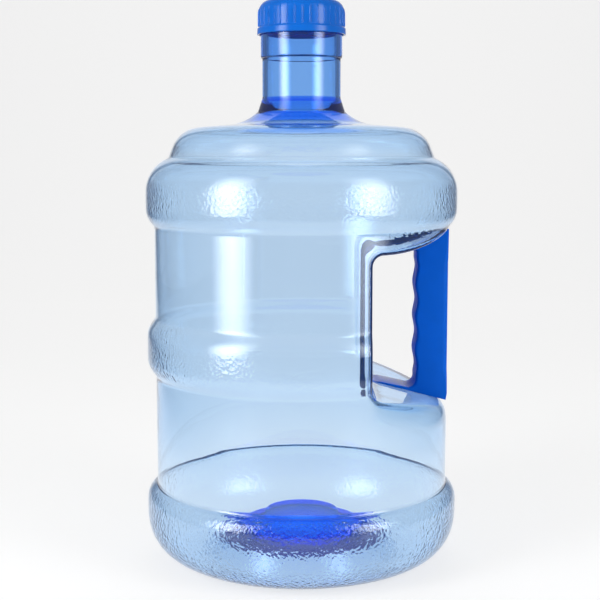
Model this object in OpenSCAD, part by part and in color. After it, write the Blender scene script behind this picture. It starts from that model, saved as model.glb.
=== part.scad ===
// Large water jug: a blow-moulded bottle with a through notch on the +X side, a handle frame
// held in that notch, and a screw cap with a sealing liner. The bottle's blown body and its
// unblown neck are one piece of plastic, drawn as two solids that meet at the foot of the mouth.
// Millimetres, +Z up, ground at z = 0.

/* [Bottle body] */
// Radius of the straight wall
body_r = 102; // [98:1:106]
// Thickness of the blown wall
wall = 1.2; // [1:0.1:1.8]
// Height of the crease above the base band
base_h = 53.5; // [50:0.5:56]
// How far the base band stands out past the straight wall
base_out = 7; // [5:0.5:8]
// Radius of the foot ring's outer edge
foot_r = 70.7; // [66:0.1:75]
// Width of the flat that the jug stands on
foot_w = 4.7; // [3:0.1:6]

/* [Bands and shoulder] */
// Height of the lower crease of the middle band
band_z = 130; // [120:1:140]
// Height of the middle band
band_h = 40.3; // [36:0.1:44]
// How far the middle band and the shoulder roll stand out
band_out = 5.8; // [4:0.1:7]
// Height of the crease under the shoulder roll
shoulder_z = 233.2; // [230:0.1:236]
// Height of the crease over the shoulder roll
tier_z = 280.4; // [278:0.1:284]
// Radius of the upper tier at that crease
tier_r = 91.9; // [90:0.1:94]

/* [Neck] */
// Radius of the mouth
mouth_r = 24; // [22:0.1:24.5]
// Outer radius of the neck
neck_r = 27; // [26.5:0.1:27.2]
// Outer radius of the neck collar
collar_r = 28; // [27.5:0.1:28]
// Height of the collar's lower edge
collar_z = 348.2; // [340:0.1:352]
// Height of the collar's upper edge, where the thread starts
finish_z = 366; // [364:0.1:367]
// Height of the neck's rim
rim_z = 381.5; // [381.5:0.1:382]

/* [Thread] */
// Rise of the thread in one turn
pitch = 6; // [5:0.5:6]
// Turns of thread on the neck and in the cap
turns = 1.5; // [1:0.25:1.75]

/* [Notch and handle] */
// Distance from the jug's axis to the notch's flat back wall
notch_x = 44.7; // [42:0.1:50]
// Thickness of the wall around the notch
notch_wall = 2; // [1.6:0.1:3]
// Height of the notch's ceiling at its inner corner
ceiling_z = 219.3; // [214:0.1:221]
// Height of the notch's floor at its inner corner
floor_z = 126.8; // [122:0.1:130]
// Width of the handle frame, across the jug
handle_w = 28; // [22:1:32]
// Thickness of the grip from front to back
grip_t = 22; // [18:0.5:24]
// Depth of the finger waves
finger_depth = 1; // [0:0.1:1.5]
// Height of one finger wave
finger_pitch = 23.3; // [20:0.1:26]

/* [Cap] */
// Number of grip ribs on the cap
cap_ribs = 36; // [24:1:48]
// Height of the cap's lower edge
cap_z = 364; // [362:0.1:365]
// Height of the cap's top
cap_top_z = 389.2; // [389:0.1:390]

/* [Hidden] */
$fn = 96;

pet = [0.62, 0.80, 0.95, 0.45];
handle_blue = [0.06, 0.36, 0.80];
cap_blue = [0.07, 0.46, 0.89];

// Base: a superellipse flank below, a fillet above, and a raised centre
base_r = body_r + base_out;
flank_h = 36.5;
flank_n = 2.37;
base_fillet = 11.5;
punt_wall_r = 57;
punt_wall_z = 14;
crown_r = 26;
crown_z = 19;
crown_top_z = 22;
crown_t = 6;
punt_t = 3.2;

// Bands: a cone leaves the crease at ramp_a, and an arc turns it upright
ramp_a = 35;
band_r = body_r + band_out;
band_fillet = 14;
shoulder_ramp_a = 39;
roll_r = 25;
tier_fillet = 21;
tier_a = 18;
crown_slope = 6;
throat_a = 42;
throat_arc_r = 35;
throat_x = 50;
throat_z = 303.1;
flare_r = 30.2;
flare_z = 311.9;
neck_z = 321.5;
mouth_bottom_z = 318;
neck_foot_r = flare_r + (neck_r - flare_r) * (mouth_bottom_z - flare_z) / (neck_z - flare_z);
thread_core_r = 26;

// Notch: straight floor, curved ceiling, filleted inner corners
floor_slope = 0.255;
floor_a = atan(floor_slope);
ceiling_r = 100;
corner_r = 7;
lip_r = 9;
notch_reach = 130;

// Handle frame: thin bars round the notch and a keel locked in the bottle wall
grip_out_x = 101.5;
grip_in_x = grip_out_x - grip_t;
bar_t = 2.2;
arm_tip_t = 0.8;
arm_root_t = 2.4;
finger_top_z = 205.5;
keel_x = notch_x - 3.2;
keel_w = 8;
knob_r = 5.2;
knob_x = notch_x + 2.6;
knob_z = ceiling_z - 0.6;
toe_r = 2.4;
toe_z = floor_z - 8;
hole_corner_r = 6;

// Thread: ridge depth on the neck and in the cap, and half heights at root and crest
ridge_out = 1.6;
cap_bore_r = 28.2;
cap_ridge_in = 1.2;
ridge_root = 1.5;
ridge_crest = 0.7;
thread_start_z = 370.6;
thread_drop = 2.5;
thread_steps = 24;

// Cap and liner
lip_out_r = 30.6;
skirt_top_r = 29.3;
skirt_top_z = 379.7;
cap_corner_r = 7.5;
boss_r = 21.5;
boss_h = 2;
cap_roof_t = 2.2;
seat_r = 20.5;
liner_r = 26.5;
liner_t = 1.3;
liner_gap = 0.1;
rib_w = 0.7;
rib_h = 0.5;
rib_z = 369.5;
rib_len = 10.5;
rib_turn = 1.3;

// Points of an arc in the r-z plane
function arc(c, r, a0, a1, n) =
    [for (i = [0:n]) let (a = a0 + (a1 - a0) * i / n) c + r * [cos(a), sin(a)]];

// Flank of the base from the foot ring to the widest height, set in by t
function flank(t) =
    [for (a = [90:-9:0])
        [foot_r + (base_r - foot_r - t) * pow(cos(a), 2 / flank_n),
         flank_h - (flank_h - t) * pow(sin(a), 2 / flank_n)]];

// Height that a ramp and its arc take between a crease and the upright face
function ramp_rise(a) =
    band_fillet * sin(a) + (band_out - band_fillet * (1 - cos(a))) / tan(a);

// Outline of the jug from the foot ring to the neck flare, set in by t
function side(t) =
    let (base_c = [base_r - base_fillet, base_h - sqrt(pow(base_fillet, 2)
                   - pow(base_fillet - base_out, 2))],
         crease_a = acos((base_fillet - base_out) / base_fillet),
         band_c = band_r - band_fillet,
         low_z = band_z + ramp_rise(ramp_a),
         high_z = band_z + band_h - ramp_rise(ramp_a),
         roll_z = shoulder_z + ramp_rise(shoulder_ramp_a),
         roll_c = [band_r - roll_r, tier_z - roll_r * sin(acos((tier_r - band_r + roll_r) / roll_r))],
         roll_a = acos((tier_r - band_r + roll_r) / roll_r),
         tier_c = [tier_r - 2.4 - tier_fillet * cos(tier_a), tier_z - 0.2],
         throat_c = [throat_x + throat_arc_r * sin(crown_slope),
                     throat_z + throat_arc_r * cos(crown_slope)])
    concat(
        flank(t),
        arc(base_c, base_fillet - t, 0, crease_a, 5),
        [[body_r - t, band_z]],
        arc([band_c, low_z], band_fillet - t, -ramp_a, 0, 4),
        arc([band_c, high_z], band_fillet - t, 0, ramp_a, 4),
        [[body_r - t, band_z + band_h], [body_r - t, shoulder_z]],
        arc([band_c, roll_z], band_fillet - t, -shoulder_ramp_a, 0, 4),
        arc(roll_c, roll_r - t, 0, roll_a, 8),
        arc(tier_c, tier_fillet - t, tier_a + 5, 90 - crown_slope, 6),
        arc(throat_c, throat_arc_r + t, 270 - crown_slope, 270 - throat_a, 4));

module outer_solid() {
    rotate_extrude()
        polygon(concat(
            [[0, crown_top_z], [crown_r, crown_z], [punt_wall_r, punt_wall_z],
             [foot_r - foot_w, 0]],
            side(0),
            [[flare_r, flare_z], [neck_foot_r, mouth_bottom_z], [0, mouth_bottom_z]]));
}

module inner_solid() {
    rotate_extrude()
        polygon(concat(
            [[0, crown_top_z + crown_t], [crown_r - 2, crown_z + crown_t - 1],
             [crown_r + 1, crown_z + punt_t], [punt_wall_r + 1, punt_wall_z + punt_t],
             [foot_r - foot_w + 1, wall + 0.4]],
            side(wall),
            [[mouth_r, mouth_bottom_z], [mouth_r, rim_z], [0, rim_z]]));
}

// Height of the notch's floor and ceiling at a distance from the axis
function floor_at(x) = floor_z - floor_slope * (x - notch_x);
function ceiling_at(x) =
    let (dx = max(0, x - notch_x - corner_r))
    ceiling_z + ceiling_r - sqrt(pow(ceiling_r, 2) - pow(dx, 2));

// Outline of the notch in the x-z plane, grown by g
function notch_outline(g) =
    let (lip_x = body_r - lip_r,
         lip_c = [lip_x, floor_at(lip_x) - lip_r / cos(floor_a)],
         toe_x = notch_x + corner_r,
         toe_c = [toe_x, floor_at(toe_x) + corner_r / cos(floor_a)],
         top_c = [notch_x + corner_r, ceiling_z - corner_r],
         roof_c = [notch_x + corner_r, ceiling_z + ceiling_r],
         roof_a = asin((body_r + 2 - notch_x - corner_r) / (ceiling_r - g)))
    concat(
        [[notch_reach, lip_c[1]]],
        arc(lip_c, lip_r - g, 0, 90 - floor_a, 5),
        arc(toe_c, corner_r + g, 270 - floor_a, 180, 5),
        arc(top_c, corner_r + g, 180, 90, 5),
        arc(roof_c, ceiling_r - g, 270, 270 + roof_a, 8),
        [[notch_reach, ceiling_at(body_r + 2) + g]]);

module across(w) {
    rotate([90, 0, 0])
        translate([0, 0, -w / 2])
            linear_extrude(w)
                children();
}

// The keel's outline: a fin behind the notch wall with a knob on top and a toe below
module keel_outline(g) {
    translate([keel_x - g, toe_z])
        square([notch_x - keel_x + g + 1, knob_z - toe_z]);
    translate([knob_x, knob_z])
        circle(knob_r + g);
    translate([keel_x + toe_r, toe_z])
        circle(toe_r + g);
}

// Helical ridge: section runs from inside the wall (r0) to the crest (r1), faded at both ends
module helix_ridge(r0, r1, z0) {
    n = round(turns * thread_steps);
    ring = [for (i = [0:n])
        let (a = 360 * i / thread_steps,
             fade = min(1, min(i, n - i) / 3),
             crest = r0 + (r1 - r0) * (0.35 + 0.65 * fade),
             z = z0 + pitch * i / thread_steps,
             low = ridge_crest * (0.5 + 0.5 * fade))
        for (p = [[r0, -ridge_root], [crest, -low], [crest, low], [r0, ridge_root]])
            [p[0] * cos(a), p[0] * sin(a), z + p[1]]];
    sides = [for (i = [0:n - 1], k = [0:3])
        let (a = 4 * i + k, b = 4 * i + (k + 1) % 4)
        each (r1 < r0 ? [[a, a + 4, b + 4], [a, b + 4, b]] : [[a, b + 4, a + 4], [a, b, b + 4]])];
    ends = r1 < r0 ? [[0, 1, 2, 3], [4 * n + 3, 4 * n + 2, 4 * n + 1, 4 * n]]
                   : [[3, 2, 1, 0], [4 * n, 4 * n + 1, 4 * n + 2, 4 * n + 3]];
    polyhedron(concat(ring), concat(sides, ends));
}

module bottle_body() {
    color(pet)
        difference() {
            outer_solid();
            difference() {
                inner_solid();
                across(3 * body_r)
                    polygon(notch_outline(notch_wall));
                across(keel_w + 2 * wall)
                    keel_outline(wall);
            }
            across(3 * body_r)
                polygon(notch_outline(0));
            across(keel_w)
                keel_outline(0);
        }
}

module bottle_neck() {
    color(pet) {
        rotate_extrude()
            polygon([[mouth_r, mouth_bottom_z], [neck_foot_r, mouth_bottom_z], [neck_r, neck_z],
                     [neck_r, collar_z], [collar_r, collar_z], [collar_r, finish_z],
                     [thread_core_r, finish_z], [thread_core_r, rim_z], [mouth_r, rim_z]]);
        helix_ridge(thread_core_r - 0.4, thread_core_r + ridge_out, thread_start_z);
    }
}

// Grip face towards the hand, with finger waves
function grip_face(z) =
    grip_in_x + finger_depth * cos(360 * (z - finger_top_z) / finger_pitch);

function arm_t(x) =
    arm_tip_t + (arm_root_t - arm_tip_t) * (x - notch_x) / (grip_in_x - notch_x);

module hand_hole() {
    back = notch_x + bar_t;
    low = floor_at(grip_in_x) + arm_root_t;
    high = ceiling_at(grip_in_x) - arm_root_t;
    steps = 40;
    polygon(concat(
        [for (i = [0:steps])
            let (z = low + (high - low) * i / steps, ends = min(z - low, high - z))
            [grip_face(z) - 3 * pow(max(0, 1 - ends / 5), 2), z]],
        [for (x = [grip_in_x - 6:-6:back + hole_corner_r]) [x, ceiling_at(x) - arm_t(x)]],
        arc([back + hole_corner_r, ceiling_at(back) - arm_tip_t - hole_corner_r],
            hole_corner_r, 90, 180, 5),
        arc([back + hole_corner_r, floor_at(back + hole_corner_r) + arm_tip_t + hole_corner_r],
            hole_corner_r, 180, 270, 5)));
}

module handle_frame() {
    round_r = 6;
    color(handle_blue) {
        intersection() {
            across(handle_w)
                difference() {
                    polygon(notch_outline(0));
                    hand_hole();
                }
            union() {
                linear_extrude(rim_z)
                    translate([notch_x, -handle_w / 2])
                        square([grip_out_x - round_r - notch_x, handle_w]);
                linear_extrude(rim_z)
                    translate([notch_x, -handle_w / 2 + round_r])
                        square([grip_out_x - notch_x, handle_w - 2 * round_r]);
                for (side = [-1, 1])
                    translate([grip_out_x - round_r, side * (handle_w / 2 - round_r), 0])
                        cylinder(r = round_r, h = rim_z);
            }
        }
        difference() {
            across(keel_w)
                keel_outline(0);
            across(2 * keel_w)
                hand_hole();
        }
    }
}

module cap_rib(i) {
    rotate([0, 0, 270 + rib_turn + 360 * i / cap_ribs])
        translate([skirt_top_r - 0.6, -rib_w / 2, rib_z])
            cube([rib_h + 1.1, rib_w, rib_len]);
}

module screw_cap() {
    corner_c = [skirt_top_r - cap_corner_r, skirt_top_z];
    roof_z = cap_top_z - boss_h;
    seat_z = rim_z + liner_gap + liner_t;
    color(cap_blue) {
        rotate_extrude()
            difference() {
                polygon(concat(
                    [[0, cap_z], [lip_out_r, cap_z], [lip_out_r - 0.3, rib_z - 1.2],
                     [lip_out_r - 0.8, rib_z - 0.6]],
                    arc(corner_c, cap_corner_r, 0, 90, 6),
                    [[boss_r, roof_z], [boss_r - 0.8, cap_top_z], [0, cap_top_z]]));
                polygon([[0, cap_z - 1], [cap_bore_r + 0.7, cap_z - 1],
                         [cap_bore_r + 0.7, cap_z + 2], [cap_bore_r, cap_z + 3],
                         [cap_bore_r, rim_z - 2.5], [liner_r + 0.5, rim_z + liner_gap],
                         [liner_r + 0.3, seat_z], [seat_r, seat_z],
                         [seat_r - 1, cap_top_z - cap_roof_t], [0, cap_top_z - cap_roof_t]]);
            }
        for (i = [0:cap_ribs - 1])
            cap_rib(i);
        helix_ridge(cap_bore_r + 0.4, cap_bore_r - cap_ridge_in, thread_start_z - thread_drop);
    }
}

module cap_liner() {
    color("white")
        translate([0, 0, rim_z + liner_gap])
            cylinder(r = liner_r, h = liner_t);
}

bottle_body();
bottle_neck();
handle_frame();
screw_cap();
cap_liner();
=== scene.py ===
"""Looks of the large water jug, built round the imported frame. Shapes are worked out in millimetres."""
import math

import bmesh
import bpy
import numpy as np
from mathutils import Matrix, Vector


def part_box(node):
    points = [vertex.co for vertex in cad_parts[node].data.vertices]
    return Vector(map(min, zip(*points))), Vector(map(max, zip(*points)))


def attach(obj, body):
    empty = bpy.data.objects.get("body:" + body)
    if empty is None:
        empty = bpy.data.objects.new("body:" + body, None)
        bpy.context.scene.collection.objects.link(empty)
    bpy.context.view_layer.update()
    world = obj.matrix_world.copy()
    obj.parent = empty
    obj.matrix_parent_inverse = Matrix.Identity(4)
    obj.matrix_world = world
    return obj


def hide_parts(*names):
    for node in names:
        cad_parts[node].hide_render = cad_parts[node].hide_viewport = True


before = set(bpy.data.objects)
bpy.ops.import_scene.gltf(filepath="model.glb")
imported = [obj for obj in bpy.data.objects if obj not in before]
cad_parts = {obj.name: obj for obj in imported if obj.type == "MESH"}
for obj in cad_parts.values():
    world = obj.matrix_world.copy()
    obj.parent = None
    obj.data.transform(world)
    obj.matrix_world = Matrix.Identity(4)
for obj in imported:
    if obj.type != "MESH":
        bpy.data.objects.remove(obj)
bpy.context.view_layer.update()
MM = 0.001


def node_box(name):
    """Lowest and highest corner of a CAD node, in millimetres."""
    low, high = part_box(name)
    return np.array(low) / MM, np.array(high) / MM


BODY_HIGH = node_box("bottle_body")[1]
NECK_LOW, NECK_HIGH = node_box("bottle_neck")
HANDLE_LOW, HANDLE_HIGH = node_box("handle_frame")
CAP_LOW, CAP_HIGH = node_box("screw_cap")
LINER_LOW, LINER_HIGH = node_box("cap_liner")

# Bottle wall and base
BASE_R = BODY_HIGH[1]
BASE_OUT = 7.0
BODY_R = BASE_R - BASE_OUT
WALL = 1.2
FOOT_R, FOOT_W = 70.7, 4.7
FLANK_H, FLANK_N = 36.5, 2.37
BASE_H, BASE_FILLET = 53.5, 11.5
PUNT_R, PUNT_Z, PUNT_T = 57.0, 14.0, 3.5
CROWN_R, CROWN_Z, CROWN_TOP, CROWN_T = 26.0, 19.0, 22.0, 10.0
DOME_R, DOME_T = 41.0, 2.5

# Bands and shoulder
BAND_Z, BAND_H, BAND_OUT, BAND_FILLET, RAMP_A = 130.0, 40.3, 5.8, 14.0, 35.0
BAND_R = BODY_R + BAND_OUT
SHOULDER_Z, SHOULDER_RAMP_A, ROLL_R = 233.2, 39.0, 25.0
TIER_Z, TIER_R, TIER_FILLET, TIER_A = 280.4, 91.9, 21.0, 18.0
CROWN_SLOPE, THROAT_A, THROAT_ARC, THROAT_X, THROAT_Z = 6.0, 42.0, 35.0, 50.0, 303.1

# Neck and thread
FLARE_R, FLARE_Z, NECK_R, NECK_Z = 30.2, 311.9, 27.0, 321.5
COLLAR_R, COLLAR_Z, FINISH_Z = 28.0, 348.2, 366.0
MOUTH_R, MOUTH_LOW, CORE_R = 24.0, NECK_LOW[2], 26.0
RIM_Z = NECK_HIGH[2]
PITCH, TURNS, THREAD_Z, THREAD_DROP = 6.0, 1.5, 370.6, 2.5
RIDGE_OUT, CAP_RIDGE_IN, RIDGE_ROOT, RIDGE_CREST = 1.6, 1.2, 1.5, 0.7

# Notch
NOTCH_X, NOTCH_WALL = 44.7, 1.6
FLOOR_Z, FLOOR_SLOPE = 126.8, 0.255
CEILING_Z, CEILING_R, CORNER_R = 219.3, 100.0, 7.0
NOTCH_LOW = 92.0
EDGE_ROUND, LIP_ROUND = 2.0, 13.0
LIP_HIGH, LIP_LOW = 128.0, 112.0

# Handle frame
HANDLE_W = HANDLE_HIGH[1] - HANDLE_LOW[1]
GRIP_OUT = HANDLE_HIGH[0]
GRIP_IN = GRIP_OUT - 22.0
FINGER_DEPTH, FINGER_PITCH, FINGER_TOP = 0.8, 23.3, 205.5
BAR_T, ARM_TIP, ARM_ROOT, HOLE_CORNER = 2.2, 0.8, 2.4, 6.0
KEEL_X, KEEL_W = HANDLE_LOW[0], 8.0
KNOB_R, KNOB_X, KNOB_Z = 5.2, NOTCH_X + 2.6, CEILING_Z - 1.2
UPPER_RIB_END, UPPER_RIB_UP, UPPER_RIB_DOWN = 99.0, 3.4, 1.0
TOE_R, TOE_Z = 2.4, FLOOR_Z - 8.0

# Cap
CAP_Z, CAP_TOP = CAP_LOW[2], CAP_HIGH[2]
CAP_BORE, LIP_R, SKIRT_R, SKIRT_Z, CAP_CORNER = 28.2, 30.6, 29.3, 379.7, 7.5
BOSS_R, BOSS_H, ROOF_T, SEAT_R = 21.5, 2.0, 2.2, 20.5
CAP_RIBS, RIB_Z, RIB_H, RIB_TURN = 36, 369.5, 0.6, 1.3


# Bottle mesh: rows of the notch zone outside and inside, and degrees between columns
OUTER_ROWS, INNER_ROWS = 112, 84
AT_EDGE, NEAR_EDGE, AT_KEEL, IN_NOTCH, ELSEWHERE = 0.42, 0.75, 0.9, 1.35, 1.8


# ---------------------------------------------------------------- curves

def arc(centre, radius, start, end, step=1.5):
    """Points of an arc from start to end degrees, about step apart."""
    count = max(3, math.ceil(abs(math.radians(end - start)) * radius / step))
    angles = np.radians(np.linspace(start, end, count + 1))
    return [(centre[0] + radius * math.cos(a), centre[1] + radius * math.sin(a)) for a in angles]


def measured(points):
    """Length along a polyline at each of its points."""
    gaps = np.hypot(*np.diff(np.asarray(points, float), axis=0).T)
    return np.concatenate([[0.0], np.cumsum(gaps)])


def softened(points, sigma, step):
    """The polyline with its corners rounded over about sigma, in points step apart. Its ends stay."""
    points = np.asarray(points, float)
    along = measured(points)
    keep = np.concatenate([[True], np.diff(along) > 1e-6])
    points, along = points[keep], along[keep]
    fine = 0.1
    at = np.linspace(0, along[-1], max(8, int(along[-1] / fine)))
    dense = np.column_stack([np.interp(at, along, points[:, k]) for k in (0, 1)])
    reach = int(3 * sigma / fine)
    kernel = np.exp(-0.5 * (np.arange(-reach, reach + 1) * fine / sigma) ** 2)
    kernel /= kernel.sum()
    head = 2 * dense[0] - dense[reach:0:-1]
    tail = 2 * dense[-1] - dense[-2:-reach - 2:-1]
    padded = np.vstack([head, dense, tail])
    dense = np.column_stack([np.convolve(padded[:, k], kernel, "valid") for k in (0, 1)])
    return respaced(dense, step)


def respaced(points, step):
    """The same curve in points that are step apart where it is straight and closer where it bends."""
    points = np.asarray(points, float)
    along = measured(points)
    heading = np.unwrap(np.arctan2(*np.gradient(points, axis=0).T[::-1]))
    bend = np.abs(np.gradient(heading)) / np.maximum(np.gradient(along), 1e-6)
    weight = np.cumsum(np.gradient(along) * (1 + 7 * np.minimum(bend, 0.6)))
    weight -= weight[0]
    at = np.interp(np.linspace(0, weight[-1], max(3, int(weight[-1] / step))), weight, along)
    return np.column_stack([np.interp(at, along, points[:, k]) for k in (0, 1)])


def ramp_rise(angle):
    """Height that a band's ramp and its arc take, between the crease and the upright face."""
    a = math.radians(angle)
    return BAND_FILLET * math.sin(a) + (BAND_OUT - BAND_FILLET * (1 - math.cos(a))) / math.tan(a)


ROLL_Z = SHOULDER_Z + ramp_rise(SHOULDER_RAMP_A)


def base_outline(t):
    """Foot ring, flank and fillet up to the wall below the notch, set in by t."""
    crease = math.degrees(math.acos((BASE_FILLET - BASE_OUT) / BASE_FILLET))
    centre = (BASE_R - BASE_FILLET, BASE_H - BASE_FILLET * math.sin(math.radians(crease)))
    flank = [(FOOT_R + (BASE_R - FOOT_R - t) * max(0.0, math.cos(a)) ** (2 / FLANK_N),
              FLANK_H - (FLANK_H - t) * math.sin(a) ** (2 / FLANK_N))
             for a in np.linspace(math.pi / 2, 0, 60)]
    return flank + arc(centre, BASE_FILLET - t, 0, crease) + [(BODY_R - t, NOTCH_LOW)]


def wall_outline(t):
    """The wall beside the notch, with the middle band and the ramp to the shoulder roll."""
    x = BAND_R - BAND_FILLET
    low, high = BAND_Z + ramp_rise(RAMP_A), BAND_Z + BAND_H - ramp_rise(RAMP_A)
    return ([(BODY_R - t, NOTCH_LOW - 20), (BODY_R - t, BAND_Z)]
            + arc((x, low), BAND_FILLET - t, -RAMP_A, 0)
            + arc((x, high), BAND_FILLET - t, 0, RAMP_A)
            + [(BODY_R - t, BAND_Z + BAND_H), (BODY_R - t, SHOULDER_Z)]
            + arc((x, ROLL_Z), BAND_FILLET - t, -SHOULDER_RAMP_A, 0)
            + [(BAND_R - t, ROLL_Z + 12)])


def shoulder_outline(t):
    """Shoulder roll, upper tier and throat."""
    roll_a = math.acos((TIER_R - BAND_R + ROLL_R) / ROLL_R)
    roll_c = (BAND_R - ROLL_R, TIER_Z - ROLL_R * math.sin(roll_a))
    tier_c = (TIER_R - 2.4 - TIER_FILLET * math.cos(math.radians(TIER_A)), TIER_Z - 0.2)
    slope = math.radians(CROWN_SLOPE)
    throat_c = (THROAT_X + THROAT_ARC * math.sin(slope), THROAT_Z + THROAT_ARC * math.cos(slope))
    return ([(BAND_R - t, ROLL_Z)]
            + arc(roll_c, ROLL_R - t, 0, math.degrees(roll_a))
            + arc(tier_c, TIER_FILLET - t, TIER_A + 5, 90 - CROWN_SLOPE)
            + arc(throat_c, THROAT_ARC + t, 270 - CROWN_SLOPE, 270 - THROAT_A))


# ---------------------------------------------------------------- meshes

def smooth_step(x, low, high):
    """0 at low, 1 at high, with a soft start and end."""
    u = np.clip((np.asarray(x, float) - low) / (high - low), 0, 1)
    return u * u * (3 - 2 * u)


def add_mesh(name, points, faces):
    """A smooth-shaded object from points in millimetres."""
    mesh = bpy.data.meshes.new(name)
    mesh.from_pydata((np.asarray(points) * MM).tolist(), [], faces)
    mesh.polygons.foreach_set("use_smooth", [True] * len(mesh.polygons))
    mesh.update()
    piece = bpy.data.objects.new(name, mesh)
    bpy.context.scene.collection.objects.link(piece)
    return piece


def grid_faces(rows, columns, closed_rows=False):
    """Quads of a grid whose columns close on themselves."""
    r = np.arange(rows if closed_rows else rows - 1)[:, None]
    c = np.arange(columns)[None, :]
    n, m = (r + 1) % rows, (c + 1) % columns
    quads = np.stack([r * columns + c, r * columns + m, n * columns + m, n * columns + c], axis=-1)
    return quads.reshape(-1, 4)


def turned_piece(name, radius, height, angles):
    """Closed solid from radii and heights by row and column. Rows run from the bottom centre, out, up
    and back to the inner centre, and the first and last row close on a point each."""
    rows, columns = radius.shape
    points = np.stack([radius * np.cos(angles), radius * np.sin(angles), height], axis=-1).reshape(-1, 3)
    first = [0, 0, float(height[0].mean())]
    last = [0, 0, float(height[-1].mean())]
    points = np.vstack([points, first, last])
    top = (rows - 1) * columns
    faces = grid_faces(rows, columns).tolist()
    for c in range(columns):
        n = (c + 1) % columns
        faces.append([rows * columns, n, c])
        faces.append([rows * columns + 1, top + c, top + n])
    return add_mesh(name, points, faces)


def lathed(name, points):
    """Round solid from one outline, with a column every 3 degrees."""
    angles = np.radians(np.arange(0, 360, 3))
    radius = np.repeat(points[:, :1], len(angles), 1)
    height = np.repeat(points[:, 1:], len(angles), 1)
    return turned_piece(name, radius, height, angles)


# ---------------------------------------------------------------- notch in the bottle

def floor_at(x):
    """Height of the notch's sloping floor."""
    return FLOOR_Z - FLOOR_SLOPE * (x - NOTCH_X)


def ceiling_at(x):
    """Height of the notch's curved ceiling."""
    dx = np.maximum(0, np.asarray(x) - NOTCH_X - CORNER_R)
    return CEILING_Z + CEILING_R - np.sqrt(CEILING_R ** 2 - dx ** 2)


def notch_distance(x, z):
    """Distance from the notch in the x-z plane, negative inside it, with filleted inner corners."""
    back = NOTCH_X - x
    below = (floor_at(x) - z) / math.hypot(1, FLOOR_SLOPE)
    above = CEILING_R - np.hypot(np.maximum(0, x - NOTCH_X - CORNER_R), z - CEILING_Z - CEILING_R)
    side = np.maximum(below, above)
    u, v = np.maximum(back + CORNER_R, 0), np.maximum(side + CORNER_R, 0)
    return np.minimum(np.maximum(back, side) + CORNER_R, 0) + np.hypot(u, v) - CORNER_R


def smooth_max(a, b, k):
    """The larger of two distances, blended over about k where they meet."""
    h = np.maximum(k - np.abs(a - b), 0) / k
    return np.maximum(a, b) + h * h * k / 4


def wall_radius(t):
    """Radius of the wall at a height, as a function, set in by t."""
    points = softened(wall_outline(t), 0.9, 0.4)
    return lambda z: np.interp(z, points[:, 1], points[:, 0])


def outer_field(angles):
    """Distance from the bottle's outer surface in the half planes at these angles."""
    radius, cos = wall_radius(0), np.cos(angles)

    def field(r, z):
        blend = EDGE_ROUND + (LIP_ROUND - EDGE_ROUND) * smooth_step(z, LIP_HIGH, LIP_LOW)
        return smooth_max(r - radius(z), -notch_distance(r * cos, z), blend)
    return field


def inner_field(angles):
    """The same for the inner surface."""
    radius, cos = wall_radius(WALL), np.cos(angles)

    def field(r, z):
        blend = EDGE_ROUND + 0.6 + (LIP_ROUND - EDGE_ROUND) * smooth_step(z, LIP_HIGH, LIP_LOW)
        return smooth_max(r - radius(z), NOTCH_WALL - notch_distance(r * cos, z), blend)
    return field


def traced(field, start_r, columns, rows):
    """Follows the surface up from the low end of the notch zone to the shoulder, in every half plane
    at once, and returns its radii and heights in even rows."""
    step, probe = 0.5, 0.02
    r, z = np.full(columns, float(start_r)), np.full(columns, float(NOTCH_LOW))
    path = [(r.copy(), z.copy())]
    for _ in range(1400):
        going = z < ROLL_Z
        if not going.any():
            break
        for stage in range(3):
            value = field(r, z)
            gr = (field(r + probe, z) - field(r - probe, z)) / (2 * probe)
            gz = (field(r, z + probe) - field(r, z - probe)) / (2 * probe)
            size = np.maximum(np.hypot(gr, gz), 0.2)
            if stage == 0:
                move_r, move_z = -gz / size * step, gr / size * step
            else:
                move_r, move_z = -value * gr / size ** 2, -value * gz / size ** 2
            r = np.where(going, r + move_r, r)
            z = np.where(going, z + move_z, z)
        path.append((r.copy(), z.copy()))
    tracks = np.array(path)
    out_r, out_z = np.empty((rows, columns)), np.empty((rows, columns))
    for c in range(columns):
        line = tracks[:, :, c]
        end = int(np.argmax(line[:, 1] >= ROLL_Z)) or len(line) - 1
        line = line[:end + 1]
        u = (ROLL_Z - line[-2, 1]) / max(line[-1, 1] - line[-2, 1], 1e-6)
        line[-1] = line[-2] + (line[-1] - line[-2]) * u
        along = measured(line)
        heading = np.unwrap(np.arctan2(*np.gradient(line, axis=0).T[::-1]))
        bend = np.abs(np.gradient(heading)) / np.maximum(np.gradient(along), 1e-3)
        bend = np.convolve(np.pad(np.minimum(bend, 0.6), 4, "edge"), np.ones(9) / 9, "valid")
        weight = np.cumsum(np.gradient(along) * (1 + 7 * bend))
        weight -= weight[0]
        at = np.interp(np.linspace(0, weight[-1], rows), weight, along)
        out_r[:, c] = np.interp(at, along, line[:, 0])
        out_z[:, c] = np.interp(at, along, line[:, 1])
    return out_r, out_z


def column_angles():
    """Angles of the bottle's columns: close together at the notch's edges and round the keel."""
    edge = math.degrees(math.acos(NOTCH_X / BODY_R))

    def step_at(a):
        off = abs(a - edge)
        if off < 4:
            return AT_EDGE
        if off < 9:
            return NEAR_EDGE
        if a < 8:
            return AT_KEEL
        return IN_NOTCH if a < edge else ELSEWHERE
    angles, a = [], 0.0
    while a < 180:
        angles.append(a)
        a += step_at(a)
    half = np.array(angles) * 180 / a
    return np.radians(np.concatenate([half, [180.0], -half[:0:-1]]))


# ---------------------------------------------------------------- bottle

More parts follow.
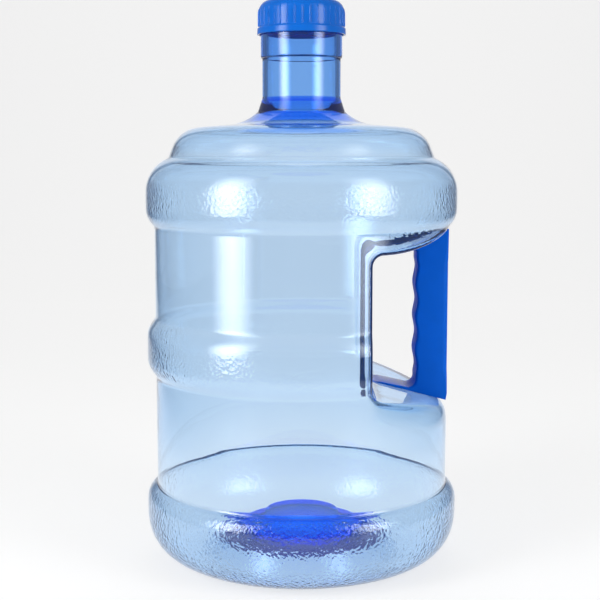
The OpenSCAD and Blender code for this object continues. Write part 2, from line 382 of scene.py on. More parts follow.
def thread_bump(angles, z, start):
    """How far the thread's ridge stands out, from 0 to 1, at these angles and heights."""
    out = np.zeros(np.broadcast(angles, z).shape)
    turn = (angles % (2 * math.pi)) / (2 * math.pi)
    for whole in range(3):
        along = turn + whole
        off = np.abs(z - start - PITCH * along)
        ends = smooth_step(np.minimum(along, TURNS - along), 0, 0.12)
        out = np.maximum(out, ends * (1 - smooth_step(off, RIDGE_CREST, RIDGE_ROOT)))
    return out


def base_punt():
    """Raised centre of the base, from its middle to the foot ring."""
    return [(0.6, CROWN_TOP), (CROWN_R, CROWN_Z), (PUNT_R, PUNT_Z), (FOOT_R - FOOT_W, 0), (FOOT_R, 0)]


def base_punt_inside():
    """The same on the inside, under the boss."""
    dome = CROWN_TOP + DOME_T
    return [(0.6, dome), (DOME_R, dome - 1), (PUNT_R + 1, PUNT_Z + PUNT_T),
            (FOOT_R - FOOT_W + 1, WALL + 0.4), (FOOT_R, WALL)]


def neck_outline():
    """Outside of the flare, neck and collar, up to the thread."""
    return [(FLARE_R + 0.3, FLARE_Z - 0.3), (FLARE_R, FLARE_Z), (NECK_R, NECK_Z),
            (NECK_R, COLLAR_Z - 0.3), (COLLAR_R, COLLAR_Z + 0.3), (COLLAR_R, FINISH_Z - 0.4),
            (CORE_R, FINISH_Z + 0.4), (CORE_R, FINISH_Z + 2)]


def rim_outline():
    """Over the rim and down into the mouth."""
    lip = 0.6
    return [(CORE_R, RIM_Z - 2), (CORE_R, RIM_Z - lip), (CORE_R - lip, RIM_Z), (MOUTH_R + lip, RIM_Z),
            (MOUTH_R, RIM_Z - lip), (MOUTH_R, RIM_Z - 2)]


def make_bottle():
    """One closed skin: outer surface, rim and inner surface."""
    angles = column_angles()
    columns = len(angles)

    def even(points):
        points = np.asarray(points, float)
        return np.repeat(points[:, :1], columns, 1), np.repeat(points[:, 1:], columns, 1)

    def turned_back(grid):
        return grid[0][::-1], grid[1][::-1]

    thread = np.column_stack([np.full(19, CORE_R), np.linspace(FINISH_Z + 2, RIM_Z - 2, 19)])
    mouth = [(THROAT_X * 0.6, THROAT_Z + 9), (MOUTH_R, MOUTH_LOW), (MOUTH_R, RIM_Z - 2)]
    parts = [
        even(softened(base_punt() + base_outline(0)[1:], 0.45, 3.2)),
        traced(outer_field(angles), BODY_R, columns, OUTER_ROWS),
        even(softened(shoulder_outline(0) + neck_outline()[1:2], 0.9, 3.2)),
        even(softened(neck_outline(), 0.35, 2.2)),
        even(thread),
        even(softened(rim_outline(), 0.3, 0.9)),
        turned_back(even(softened(shoulder_outline(WALL) + mouth[1:], 1.0, 4.4))),
        turned_back(traced(inner_field(angles), BODY_R - WALL, columns, INNER_ROWS)),
        turned_back(even(softened(base_punt_inside() + base_outline(WALL)[1:], 0.45, 4.0))),
    ]
    parts = [parts[0]] + [(r[1:], z[1:]) for r, z in parts[1:]]
    radius = np.vstack([r for r, z in parts])
    height = np.vstack([z for r, z in parts])
    on_thread = (height > FINISH_Z + 0.5) & (height < RIM_Z - 0.5) & (radius > CORE_R - 0.1)
    radius = radius + np.where(on_thread, RIDGE_OUT * thread_bump(angles, height, THREAD_Z), 0)
    piece = turned_piece("bottle", radius, height, angles)
    piece.data.materials.append(pet_material())
    return piece


def make_boss():
    """Thick middle of the base: a round boss on a skin over the punt."""
    top, dome, rim = CROWN_TOP + CROWN_T, CROWN_TOP + DOME_T, PUNT_Z + PUNT_T
    outline = [(0.5, dome - 1), (PUNT_R - 3, rim - 0.9), (PUNT_R - 0.6, rim + 0.2),
               (PUNT_R - 2, rim + 0.7), (DOME_R, dome - 0.6), (CROWN_R + 2, dome + 0.3),
               (CROWN_R + 0.6, dome + 1.2), (CROWN_R, top - 1), (CROWN_R - 1, top), (0.5, top)]
    piece = lathed("base_boss", softened(outline, 0.35, 1.6))
    piece.data.materials.append(boss_material())
    return piece


# ---------------------------------------------------------------- handle

def grip_face(z):
    """Grip face towards the hand, with its finger waves."""
    return GRIP_IN + FINGER_DEPTH * math.cos(2 * math.pi * (z - FINGER_TOP) / FINGER_PITCH)


def arm_t(x):
    """Thickness of the handle's arms, from the tip at the notch's back to the grip."""
    return ARM_TIP + (ARM_ROOT - ARM_TIP) * (x - NOTCH_X) / (GRIP_IN - NOTCH_X)


def line(start, end, count):
    """Points from start, in count steps, without the end."""
    return [(start[0] + (end[0] - start[0]) * i / count, start[1] + (end[1] - start[1]) * i / count)
            for i in range(count)]


def arc_steps(centre, radius, start, end, count):
    """Points of an arc from start to end degrees, in count steps, without the end."""
    angles = [math.radians(start + (end - start) * i / count) for i in range(count)]
    return [(centre[0] + radius * math.cos(a), centre[1] + radius * math.sin(a)) for a in angles]


def handle_outlines():
    """Outer outline, hand hole outline and outer edge radius, in matching steps round the frame."""
    tilt = math.degrees(math.atan(FLOOR_SLOPE))
    back, toe_x = NOTCH_X + BAR_T, NOTCH_X + CORNER_R
    toe_c = (toe_x, floor_at(toe_x) + CORNER_R * math.hypot(1, FLOOR_SLOPE))
    top_c = (toe_x, CEILING_Z - CORNER_R)
    hole_x = back + HOLE_CORNER
    low_c = (hole_x, floor_at(hole_x) + ARM_TIP + HOLE_CORNER)
    high_c = (hole_x, float(ceiling_at(back)) - ARM_TIP - HOLE_CORNER)
    turn_r = 5.0
    turn_x = GRIP_IN - turn_r
    top_z = float(ceiling_at(turn_x)) - ARM_ROOT
    low_z = floor_at(turn_x) + ARM_ROOT
    grip_top, grip_low = top_z - turn_r, low_z + turn_r
    outer, inner, edge = [], [], []

    def add(outside, inside, radius):
        outer.extend(outside)
        inner.extend(inside)
        edge.extend([radius] * len(outside))

    add(arc_steps(toe_c, CORNER_R, 270 - tilt, 180, 10),
        arc_steps(low_c, HOLE_CORNER, 270, 180, 10), 0.8)
    add(line((NOTCH_X, toe_c[1]), (NOTCH_X, top_c[1]), 14),
        line((back, low_c[1]), (back, high_c[1]), 14), 0.8)
    add(arc_steps(top_c, CORNER_R, 180, 90, 10),
        arc_steps(high_c, HOLE_CORNER, 180, 90, 10), 0.8)
    count = 16
    outs = [toe_x + (turn_x + 2 - toe_x) * i / count for i in range(count)]
    ins = [hole_x + (turn_x - hole_x) * i / count for i in range(count)]
    add([(x, float(ceiling_at(x))) for x in outs],
        [(x, float(ceiling_at(x)) - arm_t(x)) for x in ins], 0.6)
    bend, slant = 0.8, 14
    corner_z = float(ceiling_at(GRIP_OUT))
    outs = [turn_x + 2 + (GRIP_OUT - bend - turn_x - 2) * i / 9 for i in range(10)]
    down = line((GRIP_OUT, corner_z - bend), (GRIP_OUT, grip_top - 2), 4)
    add([(x, float(ceiling_at(x))) for x in outs] + down,
        arc_steps((turn_x, top_z - turn_r), turn_r, 90 - slant / 2, 0, 14), 0.8)
    count = 60
    heights = [grip_top + (grip_low - grip_top) * i / count for i in range(count)]
    fading = [float(smooth_step(min(grip_top - z, z - grip_low), 0, 8)) for z in heights]
    add(line((GRIP_OUT, grip_top - 2), (GRIP_OUT, grip_low + 2), count),
        [(GRIP_IN + (grip_face(z) - GRIP_IN) * f, z) for z, f in zip(heights, fading)], 4.0)
    outs = [GRIP_OUT - bend - (GRIP_OUT - bend - turn_x - 2) * i / 10 for i in range(10)]
    down = line((GRIP_OUT, grip_low + 2), (GRIP_OUT, floor_at(GRIP_OUT) + bend), 4)
    add(down + [(x, floor_at(x)) for x in outs],
        arc_steps((turn_x, low_z + turn_r), turn_r, 0, -90 + slant / 2, 14), 0.8)
    count = 16
    outs = [turn_x + 2 + (toe_x - turn_x - 2) * i / count for i in range(count)]
    ins = [turn_x + (hole_x - turn_x) * i / count for i in range(count)]
    add([(x, floor_at(x)) for x in outs], [(x, floor_at(x) + arm_t(x)) for x in ins], 0.6)
    edge = np.array(edge)
    kernel = np.ones(7) / 7
    edge = np.convolve(np.pad(edge, 3, "wrap"), kernel, "valid")
    return np.array(outer), np.array(inner), edge


def section(thick, outer_r, inner_r):
    """Rounded section of the handle: (depth from the outer edge, distance across) of its points."""
    half = HANDLE_W / 2
    out_r, in_r = min(outer_r, 0.42 * thick), min(inner_r, 0.45 * thick)
    points = []
    corners = [(out_r, half - out_r, out_r, 180, 90), (thick - in_r, half - in_r, in_r, 90, 0),
               (thick - in_r, in_r - half, in_r, 0, -90), (out_r, out_r - half, out_r, -90, -180)]
    for depth, across, r, start, end in corners:
        for i in range(7):
            a = math.radians(start + (end - start) * i / 6)
            points.append((depth + r * math.cos(a), across + r * math.sin(a)))
    return points


def make_handle():
    """The handle frame, lofted round the notch with rounded edges."""
    outer, inner, edge = handle_outlines()
    rings = []
    for out, hole, out_r in zip(outer, inner, edge):
        thick = float(np.hypot(*(hole - out)))
        way = (hole - out) / thick
        rings.append([(out[0] + way[0] * d, y, out[1] + way[1] * d)
                      for d, y in section(thick, out_r, 2.2)])
    points = np.array(rings)
    rows, columns = points.shape[:2]
    piece = add_mesh("handle", points.reshape(-1, 3), grid_faces(rows, columns, closed_rows=True).tolist())
    face_outwards(piece)
    piece.data.materials.append(handle_material())
    return piece


def face_outwards(piece):
    """Turns every face's front to the outside."""
    mesh = bmesh.new()
    mesh.from_mesh(piece.data)
    bmesh.ops.recalc_face_normals(mesh, faces=mesh.faces)
    mesh.to_mesh(piece.data)
    mesh.free()


def make_keel():
    """The fin, knob, toe and upper rib that the bottle's wall is blown round."""
    inside_x = NOTCH_X + 1.2
    drop = math.sqrt(KNOB_R ** 2 - (inside_x - KNOB_X) ** 2)
    from_a = math.degrees(math.atan2(-drop, inside_x - KNOB_X))
    along = [KNOB_X + KNOB_R - 0.6 + (UPPER_RIB_END - KNOB_X - KNOB_R) * i / 12 for i in range(13)]
    outline = (arc((KEEL_X + TOE_R, TOE_Z), TOE_R, 180, 360, 0.6)
               + arc((KNOB_X, KNOB_Z), KNOB_R, from_a, -14, 0.8)
               + [(x, float(ceiling_at(x)) - UPPER_RIB_DOWN) for x in along[1:]]
               + [(x, float(ceiling_at(x)) + UPPER_RIB_UP) for x in reversed(along[1:])]
               + arc((KNOB_X, KNOB_Z), KNOB_R, 48, 180, 0.8)
               + [(KEEL_X, KNOB_Z - 1.5)])
    half = KEEL_W / 2
    count = len(outline)
    points = [(x, y, z) for y in (-half, half) for x, z in outline]
    faces = [list(range(count)), list(range(2 * count - 1, count - 1, -1))]
    faces += [[i, i + count, (i + 1) % count + count, (i + 1) % count] for i in range(count)]
    piece = add_mesh("handle_keel", points, faces)
    face_outwards(piece)
    bevel = piece.modifiers.new("edges", "BEVEL")
    bevel.width = 0.8 * MM
    bevel.segments = 4
    bevel.limit_method = "ANGLE"
    bevel.angle_limit = math.radians(55)
    # The keel takes a much darker copy of the handle plastic: painted shade
    piece.data.materials.append(keel_painted_shade_material())
    return piece


# ---------------------------------------------------------------- cap and liner

def make_cap():
    """Screw cap with its ribs, inner thread and liner seat."""
    offsets = (-0.8, -0.48, -0.3, -0.12, 0.12, 0.3, 0.48, 0.8, 1.7, 3.1)
    angles = [math.radians(270 + RIB_TURN + 360 * i / CAP_RIBS) + d / SKIRT_R
              for i in range(CAP_RIBS) for d in offsets]
    off_rib = np.tile([abs(d) for d in offsets], CAP_RIBS)
    angles = np.array(angles)
    roof_z, seat_z = CAP_TOP - BOSS_H, LINER_HIGH[2]
    liner_r = LINER_HIGH[0]
    inside = [(0.5, CAP_TOP - ROOF_T), (SEAT_R - 1, CAP_TOP - ROOF_T), (SEAT_R, seat_z),
              (liner_r + 0.3, seat_z), (liner_r + 0.5, LINER_LOW[2]), (CAP_BORE, RIM_Z - 2.5),
              (CAP_BORE, CAP_Z + 3), (CAP_BORE + 0.7, CAP_Z + 2), (CAP_BORE + 0.7, CAP_Z),
              (LIP_R, CAP_Z), (LIP_R - 0.2, RIB_Z - 1.4), (SKIRT_R + 0.1, RIB_Z - 0.5)]
    corner = arc((SKIRT_R - CAP_CORNER, SKIRT_Z), CAP_CORNER, 0, 90, 0.8)
    top = [(BOSS_R, roof_z), (BOSS_R - 0.8, CAP_TOP), (0.5, CAP_TOP)]
    points = softened(inside + corner + top, 0.28, 1.5)
    bore = np.abs(points[:, 0] - CAP_BORE) < 0.05
    fine = np.column_stack([np.full(22, CAP_BORE), np.linspace(RIM_Z - 3.2, CAP_Z + 3.4, 22)])
    first, last = np.flatnonzero(bore)[0], np.flatnonzero(bore)[-1]
    points = np.vstack([points[:first], fine, points[last + 1:]])
    radius = np.repeat(points[:, :1], len(angles), 1)
    height = np.repeat(points[:, 1:], len(angles), 1)
    rows = np.arange(len(points))[:, None]
    in_bore = (rows >= first) & (rows < first + len(fine))
    ridge = CAP_RIDGE_IN * thread_bump(angles, height, THREAD_Z - THREAD_DROP)
    radius = radius - np.where(in_bore, ridge, 0)
    skirt = (rows > first + len(fine) + 6) & (radius > SKIRT_R - 2.5)
    along = smooth_step(height, RIB_Z - 0.4, RIB_Z + 0.6) * smooth_step(height, SKIRT_Z + 3, SKIRT_Z - 1)
    rib = RIB_H * (1 - smooth_step(off_rib, 0.12, 0.5))
    radius = radius + np.where(skirt, along * rib, 0)
    piece = turned_piece("cap", radius, height, angles)
    piece.data.materials.append(cap_material())
    return piece


def make_liner():
    """Foam sealing disc in the cap's roof."""
    low, high, r, edge = LINER_LOW[2], LINER_HIGH[2], LINER_HIGH[0], 0.35
    outline = [(0.5, low), (r - edge, low), (r, low + edge), (r, high - edge), (r - edge, high),
               (0.5, high)]
    piece = lathed("liner", softened(outline, 0.12, 1.4))
    piece.data.materials.append(liner_material())
    return piece


# ---------------------------------------------------------------- materials

# Bands of moulded pebbles, as low and high end, soft edge and strength
PEBBLED = [(6, 51, 2, 1.0), (242, 262, 5, 0.8), (281, 288, 3, 0.35)]
PEBBLED_BAND = [(136, 156, 5, 0.9)]
# How far the tint goes where the plastic is thick
BASE_TINT, THROAT_TINT, NECK_TINT = 0.6, 0.85, 0.13
PET_TINT = (0.0, 0.34, 1.0, 1)
PET_ABSORPTION = (0.0, 0.54, 0.95, 1)
# Painted glow: emission colour that stands in for light scattered inside the plastic
PET_PAINTED_GLOW = (0.05, 0.3, 1.0, 1)
BOSS_TINT = (0.005, 0.38, 1.0, 1)
BOSS_SKIN_TINT = (0.03, 0.36, 0.95, 1)
# Painted glow of the thick boss: emission colour that stands in for light scattered inside
BOSS_PAINTED_GLOW = (0.02, 0.25, 1.0, 1)
HANDLE_BLUE = (0.0005, 0.12, 0.68)
# Painted shade: the handle's blue made much darker for the keel inside the bottle's wall
KEEL_PAINTED_SHADE_BLUE = (0.001, 0.035, 0.16)
CAP_BLUE = (0.001, 0.15, 0.68)
FOAM_WHITE = (0.82, 0.83, 0.83)


class Nodes:
    """Short calls for building a material."""

    def __init__(self, name):
        self.material = bpy.data.materials.new(name)
        self.material.use_nodes = True
        self.tree = self.material.node_tree
        self.shader = self.tree.nodes["Principled BSDF"]
        self.output = self.tree.nodes["Material Output"]
        self.place = self.add("ShaderNodeTexCoord").outputs["Object"]
        self.split = self.add("ShaderNodeSeparateXYZ")
        self.link(self.place, self.split.inputs[0])

    def add(self, kind, **values):
        """A new node with these settings."""
        node = self.tree.nodes.new(kind)
        for name, value in values.items():
            setattr(node, name, value)
        return node

    def link(self, source, target):
        """Joins an output to an input."""
        self.tree.links.new(source, target)

    def set(self, **values):
        """Constants on the shader's own inputs."""
        for name, value in values.items():
            self.shader.inputs[name.replace("_", " ")].default_value = value

    def maths(self, operation, a, b=0.0, clamp=False):
        """One step of arithmetic on sockets or numbers."""
        node = self.add("ShaderNodeMath", operation=operation, use_clamp=clamp)
        for socket, value in zip(node.inputs, (a, b)):
            if isinstance(value, (int, float)):
                socket.default_value = value
            else:
                self.link(value, socket)
        return node.outputs[0]

    def noise(self, size, detail):
        """Noise whose lumps are about size millimetres across."""
        node = self.add("ShaderNodeTexNoise")
        node.inputs["Scale"].default_value = 1 / (size * MM)
        node.inputs["Detail"].default_value = detail
        self.link(self.place, node.inputs["Vector"])
        return node.outputs["Fac"]

    def ramp(self, value, low, high, out_low=0.0, out_high=1.0, kind="SMOOTHSTEP"):
        """Takes low to out_low and high to out_high, and stays level beyond them."""
        node = self.add("ShaderNodeMapRange", interpolation_type=kind)
        node.inputs["From Min"].default_value = low
        node.inputs["From Max"].default_value = high
        node.inputs["To Min"].default_value = out_low
        node.inputs["To Max"].default_value = out_high
        self.link(value, node.inputs["Value"])
        return node.outputs["Result"]

    def bump(self, height, depth, below=None):
        """Bump whose height of 1 stands depth millimetres out."""
        node = self.add("ShaderNodeBump")
        node.inputs["Distance"].default_value = depth * MM
        self.link(height, node.inputs["Height"])
        if below:
            self.link(below, node.inputs["Normal"])
        return node.outputs["Normal"]


def height_mask(nodes, bands):
    """Strength inside each (low, high, edge, strength) band of heights in millimetres, 0 outside."""
    total = None
    for low, high, edge, strength in bands:
        rise = nodes.ramp(nodes.split.outputs["Z"], (low - edge) * MM, (low + edge) * MM)
        fall = nodes.ramp(nodes.split.outputs["Z"], (high - edge) * MM, (high + edge) * MM, strength, 0.0)
        band = nodes.maths("MULTIPLY", rise, fall)
        total = band if total is None else nodes.maths("ADD", total, band, clamp=True)
    return total


def thick_mask(nodes):
    """Where the plastic is thick and deeper blue: the middle of the base, the throat and the neck."""
    height = nodes.split.outputs["Z"]
    base_height = nodes.ramp(height, 40 * MM, 50 * MM, BASE_TINT, 0)
    base = nodes.maths("MULTIPLY", inside_mask(nodes, PUNT_R - 3, PUNT_R + 1), base_height)
    throat_height = nodes.ramp(height, 292 * MM, 304 * MM)
    throat = nodes.maths("MULTIPLY", inside_mask(nodes, 38, 52), throat_height)
    fade = nodes.ramp(height, (NECK_Z - 3) * MM, (NECK_Z + 1) * MM, THROAT_TINT, NECK_TINT)
    return nodes.maths("MAXIMUM", base, nodes.maths("MULTIPLY", throat, fade))


def round_mask(nodes, low, high):
    """0 nearer the jug's axis than low millimetres, 1 beyond high."""
    flat = nodes.add("ShaderNodeVectorMath", operation="MULTIPLY")
    nodes.link(nodes.place, flat.inputs[0])
    flat.inputs[1].default_value = (1, 1, 0)
    length = nodes.add("ShaderNodeVectorMath", operation="LENGTH")
    nodes.link(flat.outputs[0], length.inputs[0])
    return nodes.ramp(length.outputs["Value"], low * MM, high * MM)


def inside_mask(nodes, low, high):
    """1 nearer the jug's axis than low millimetres, 0 beyond high."""
    return nodes.maths("SUBTRACT", 1.0, round_mask(nodes, low, high))


def pet_material():
    """Clear blue blown plastic: glossy, faintly wavy, pebbled on the base, the band and the shoulder, with
    a faint painted glow all over.
    """
    nodes = Nodes("clear_blue_pet")
    # The emission is a faint painted glow, not a lamp
    nodes.set(Roughness=0.015, IOR=1.57, Transmission_Weight=1.0, Emission_Color=PET_PAINTED_GLOW,
              Emission_Strength=0.013)
    tint = nodes.add("ShaderNodeMix", data_type="RGBA")
    tint.inputs["A"].default_value = (1, 1, 1, 1)
    tint.inputs["B"].default_value = PET_TINT
    nodes.link(thick_mask(nodes), tint.inputs["Factor"])
    nodes.link(tint.outputs["Result"], nodes.shader.inputs["Base Color"])
    absorb = nodes.add("ShaderNodeVolumeAbsorption")
    absorb.inputs["Color"].default_value = PET_ABSORPTION
    absorb.inputs["Density"].default_value = 225.0
    nodes.link(absorb.outputs[0], nodes.output.inputs["Volume"])
    cells = nodes.add("ShaderNodeTexVoronoi", feature="SMOOTH_F1")
    cells.inputs["Scale"].default_value = 1 / (2.2 * MM)
    cells.inputs["Smoothness"].default_value = 0.6
    warp = nodes.add("ShaderNodeTexNoise")
    warp.inputs["Scale"].default_value = 1 / (5 * MM)
    nodes.link(nodes.place, warp.inputs["Vector"])
    shift = nodes.add("ShaderNodeVectorMath", operation="MULTIPLY_ADD")
    nodes.link(warp.outputs["Color"], shift.inputs[0])
    shift.inputs[1].default_value = (3 * MM, 3 * MM, 3 * MM)
    nodes.link(nodes.place, shift.inputs[2])
    nodes.link(shift.outputs[0], cells.inputs["Vector"])
    away = nodes.ramp(nodes.split.outputs["X"], 5 * MM, 28 * MM, 1.0, 0.0)
    bands = nodes.maths("ADD", height_mask(nodes, PEBBLED),
                        nodes.maths("MULTIPLY", height_mask(nodes, PEBBLED_BAND), away), clamp=True)
    mask = nodes.maths("MULTIPLY", bands, round_mask(nodes, BODY_R - 22, BODY_R - 8))
    pebbles = nodes.maths("MULTIPLY", cells.outputs["Distance"], mask)
    waves = nodes.bump(nodes.noise(28, 1.0), 0.15)
    nodes.link(nodes.bump(pebbles, 0.2, below=waves), nodes.shader.inputs["Normal"])
    return nodes.material


def boss_material():
    """The same plastic where it is thick: deep blue in the boss, paler in the skin round it, with a
    painted glow, stronger in the boss, that stands in for light scattered inside.
    """
    nodes = Nodes("clear_blue_pet_thick_painted_glow")
    nodes.set(Roughness=0.03, IOR=1.06, Transmission_Weight=1.0, Emission_Color=BOSS_PAINTED_GLOW)
    skin = round_mask(nodes, CROWN_R, CROWN_R + 3)
    tint = nodes.add("ShaderNodeMix", data_type="RGBA")
    nodes.link(skin, tint.inputs["Factor"])
    tint.inputs["A"].default_value = BOSS_TINT
    tint.inputs["B"].default_value = BOSS_SKIN_TINT
    nodes.link(tint.outputs["Result"], nodes.shader.inputs["Base Color"])
    # Painted glow: stronger emission in the boss than in the skin round it
    nodes.link(nodes.ramp(skin, 0, 1, 0.12, 0.03), nodes.shader.inputs["Emission Strength"])
    return nodes.material


def moulded(name, colour, roughness, grain, depth, ior):
    """Opaque moulded plastic with a fine grain and slightly uneven gloss and colour."""
    nodes = Nodes(name)
    nodes.set(IOR=ior)
    patches = nodes.noise(9, 3.0)
    mix = nodes.add("ShaderNodeMix", data_type="RGBA")
    nodes.link(patches, mix.inputs["Factor"])
    mix.inputs["A"].default_value = (*[c * 0.93 for c in colour], 1)
    mix.inputs["B"].default_value = (*[min(1, c * 1.07) for c in colour], 1)
    nodes.link(mix.outputs["Result"], nodes.shader.inputs["Base Color"])
    uneven = nodes.ramp(patches, 0.3, 0.7, roughness * 0.85, roughness * 1.15)
    nodes.link(uneven, nodes.shader.inputs["Roughness"])
    nodes.link(nodes.bump(nodes.noise(grain, 3.0), depth), nodes.shader.inputs["Normal"])
    return nodes


def handle_material():
    """Satin on the grip and glossier on the thin arms."""
    nodes = moulded("blue_handle_plastic", HANDLE_BLUE, 0.5, 0.5, 0.006, 1.18)
    rough = nodes.shader.inputs["Roughness"]
    satin = rough.links[0].from_socket
    x = nodes.split.outputs["X"]
    gloss = nodes.ramp(x, (GRIP_IN - 8) * MM, (GRIP_IN - 2) * MM, 0.35, 1.0, "LINEAR")
    nodes.link(nodes.maths("MULTIPLY", satin, gloss), rough)
    return nodes.material


def keel_painted_shade_material():
    """The same handle plastic, painted much darker as shade where the bottle's wall covers it, and with no
    gloss left on it.
    """
    return moulded("blue_handle_plastic_painted_shade", KEEL_PAINTED_SHADE_BLUE, 0.5, 0.5, 0.004, 1.0).material


def cap_material():
    """Glossy blue plastic with a faint moulded unevenness."""
    return moulded("blue_cap_plastic", CAP_BLUE, 0.14, 2.2, 0.012, 1.4).material


def liner_material():
    """Matt white foam."""
    return moulded("white_foam_liner", FOAM_WHITE, 0.75, 0.6, 0.08, 1.4).material


# ---------------------------------------------------------------- studio

PAPER_HALF, BACKDROP_HALF, PAPER_FRONT = 3200, 1400, -3200
BEND_Y, BEND_R, PAPER_TOP = 1500, 900, 3200
PAPER_GLOW, PAPER_GLOW_DIM = 0.68, 0.1
PAPER_GREY, PAPER_GREY_DIM = 0.4, 0.12
CAMERA_Y, CAMERA_Z, CAMERA_TILT = -0.85341, 0.28069, 6.65
ROOM_PALE, ROOM_DARK = 0.88, 0.3


def make_floor():
    """Floor that curves up into a backdrop. It is dim beside and in front of the pictured part, where
    only the jug's reflections reach it, so that clear edges read dark."""
    bend = arc((BEND_Y, BEND_R), BEND_R, 270, 360, 60)
    sweep = [(PAPER_FRONT, 0), (BEND_Y, 0)] + bend + [(BEND_Y + BEND_R, PAPER_TOP)]
    points = [(side * (PAPER_HALF if y < BEND_Y else BACKDROP_HALF), y, z)
              for y, z in sweep for side in (-1, 1)]
    faces = [[2 * i, 2 * i + 1, 2 * i + 3, 2 * i + 2] for i in range(len(sweep) - 1)]
    floor = add_mesh("studio_floor", points, faces)
    nodes = Nodes("studio_paper")
    nodes.set(Roughness=0.8, Specular_IOR_Level=0.1, Emission_Color=(1, 1, 1, 1))
    from_middle = nodes.maths("ABSOLUTE", nodes.split.outputs["X"])
    widening = nodes.maths("MULTIPLY", nodes.maths("ADD", nodes.split.outputs["Y"], 0.853), 0.25)
    in_front = nodes.maths("SUBTRACT", -0.2, nodes.split.outputs["Y"])
    beside = nodes.maths("SUBTRACT", from_middle, widening)
    beside = nodes.maths("MAXIMUM", beside, in_front)
    bounced = nodes.maths("SUBTRACT", 1.0, nodes.add("ShaderNodeLightPath").outputs["Is Camera Ray"])
    beside = nodes.maths("MULTIPLY", beside, bounced)
    lit = nodes.ramp(beside, 0.05, 0.4, PAPER_GLOW, PAPER_GLOW_DIM)
    nodes.link(lit, nodes.shader.inputs["Emission Strength"])
    grey = nodes.add("ShaderNodeCombineColor")
    for channel in grey.inputs:
        nodes.link(nodes.ramp(beside, 0.05, 0.4, PAPER_GREY, PAPER_GREY_DIM), channel)
    nodes.link(grey.outputs[0], nodes.shader.inputs["Base Color"])
    floor.data.materials.append(nodes.material)


def fade_edges(light):
    """Makes an area light bright in the middle and soft towards its edges."""
    light.use_nodes = True
    tree = light.node_tree
    emission = next(n for n in tree.nodes if n.type == "EMISSION")
    across = tree.nodes.new("ShaderNodeNewGeometry").outputs["Parametric"]
    split = tree.nodes.new("ShaderNodeSeparateXYZ")
    tree.links.new(across, split.inputs[0])
    strength = None
    for axis in ("X", "Y"):
        middle = tree.nodes.new("ShaderNodeMath")
        middle.operation = "PINGPONG"
        middle.inputs[1].default_value = 0.5
        tree.links.new(split.outputs[axis], middle.inputs[0])
        soft = tree.nodes.new("ShaderNodeMapRange")
        soft.interpolation_type = "SMOOTHSTEP"
        soft.inputs["From Max"].default_value = 0.5
        tree.links.new(middle.outputs[0], soft.inputs["Value"])
        if strength is None:
            strength = soft.outputs[0]
        else:
            both = tree.nodes.new("ShaderNodeMath")
            both.operation = "MULTIPLY"
            tree.links.new(strength, both.inputs[0])
            tree.links.new(soft.outputs[0], both.inputs[1])
            strength = both.outputs[0]
    tree.links.new(strength, emission.inputs["Strength"])


def add_softbox(name, azimuth, distance, height, size, power):
    """Area light aimed at the jug's middle, azimuth degrees round from the camera towards the right."""
    light = bpy.data.lights.new(name, "AREA")
    fade_edges(light)
    light.shape = "RECTANGLE"
    light.size, light.size_y = size
    light.energy = power
    lamp = bpy.data.objects.new(name, light)
    lamp.visible_camera = False
    a = math.radians(azimuth - 90)
    lamp.location = (distance * math.cos(a), distance * math.sin(a), height)
    aim = Vector((0, 0, 0.2)) - lamp.location
    lamp.rotation_euler = aim.to_track_quat("-Z", "Y").to_euler()
    bpy.context.scene.collection.objects.link(lamp)


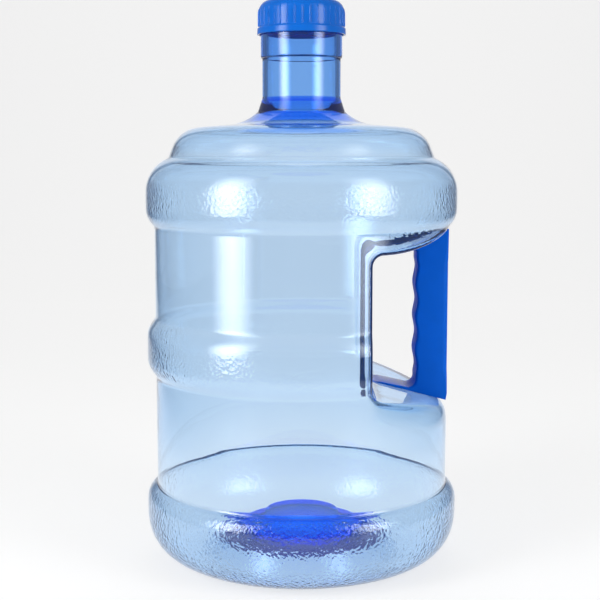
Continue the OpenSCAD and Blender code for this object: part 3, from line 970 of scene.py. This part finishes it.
def studio_world():
    """Pale behind the jug and darker all round it. The camera itself sees it pale everywhere."""
    world = bpy.data.worlds.new("studio")
    world.use_nodes = True
    tree = world.node_tree
    background = tree.nodes["Background"]
    split = tree.nodes.new("ShaderNodeSeparateXYZ")
    tree.links.new(tree.nodes.new("ShaderNodeTexCoord").outputs["Generated"], split.inputs[0])
    angle = tree.nodes.new("ShaderNodeMath")
    angle.operation = "ARCTAN2"
    tree.links.new(split.outputs["X"], angle.inputs[0])
    tree.links.new(split.outputs["Y"], angle.inputs[1])
    size = tree.nodes.new("ShaderNodeMath")
    size.operation = "ABSOLUTE"
    tree.links.new(angle.outputs[0], size.inputs[0])
    room = tree.nodes.new("ShaderNodeValToRGB")
    tree.links.new(size.outputs[0], room.inputs[0])
    stops = [(0.40, ROOM_PALE), (0.62, ROOM_DARK), (1.0, ROOM_DARK)]
    ramp = room.color_ramp
    while len(ramp.elements) < len(stops):
        ramp.elements.new(0.5)
    for element, (place_at, level) in zip(ramp.elements, stops):
        element.position = place_at
        element.color = (level, level, level, 1)
    seen = tree.nodes.new("ShaderNodeMix")
    seen.data_type = "RGBA"
    by_camera = tree.nodes.new("ShaderNodeLightPath").outputs["Is Camera Ray"]
    tree.links.new(by_camera, seen.inputs["Factor"])
    tree.links.new(room.outputs["Color"], seen.inputs["A"])
    seen.inputs["B"].default_value = (ROOM_PALE, ROOM_PALE, ROOM_PALE, 1)
    tree.links.new(seen.outputs["Result"], background.inputs["Color"])
    return world


def add_studio():
    """Paper, room and two softboxes."""
    make_floor()
    bpy.context.scene.world = studio_world()
    add_softbox("left_softbox", -52, 1.2, 0.45, (0.9, 2.2), 54)
    add_softbox("right_softbox", 52, 1.2, 0.45, (0.9, 2.2), 38)


def add_camera():
    """Camera in front of the jug, looking slightly down."""
    data = bpy.data.cameras.new("camera")
    data.sensor_width = 36.0
    data.lens = 73.33
    data.shift_x = -0.0025
    camera = bpy.data.objects.new("camera", data)
    camera.location = (0, CAMERA_Y, CAMERA_Z)
    camera.rotation_euler = (math.radians(90 - CAMERA_TILT), 0, 0)
    bpy.context.scene.collection.objects.link(camera)
    bpy.context.scene.camera = camera


# ---------------------------------------------------------------- assembly

def place(piece, body, slot, *nodes):
    """Says which body the piece rides and which CAD nodes it replaces. The slot argument, its finish, is
    not used.
    """
    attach(piece, body)
    if nodes:
        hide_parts(*nodes)


bpy.context.scene.view_settings.view_transform = "Standard"
add_camera()
place(make_bottle(), "bottle", "clear_blue_pet", "bottle_body", "bottle_neck")
place(make_boss(), "bottle", "clear_blue_pet")
place(make_handle(), "bottle", "blue_handle_plastic", "handle_frame")
place(make_keel(), "bottle", "blue_handle_plastic")
place(make_cap(), "cap", "blue_cap_plastic", "screw_cap")
place(make_liner(), "liner", "white_foam_liner", "cap_liner")
add_studio()
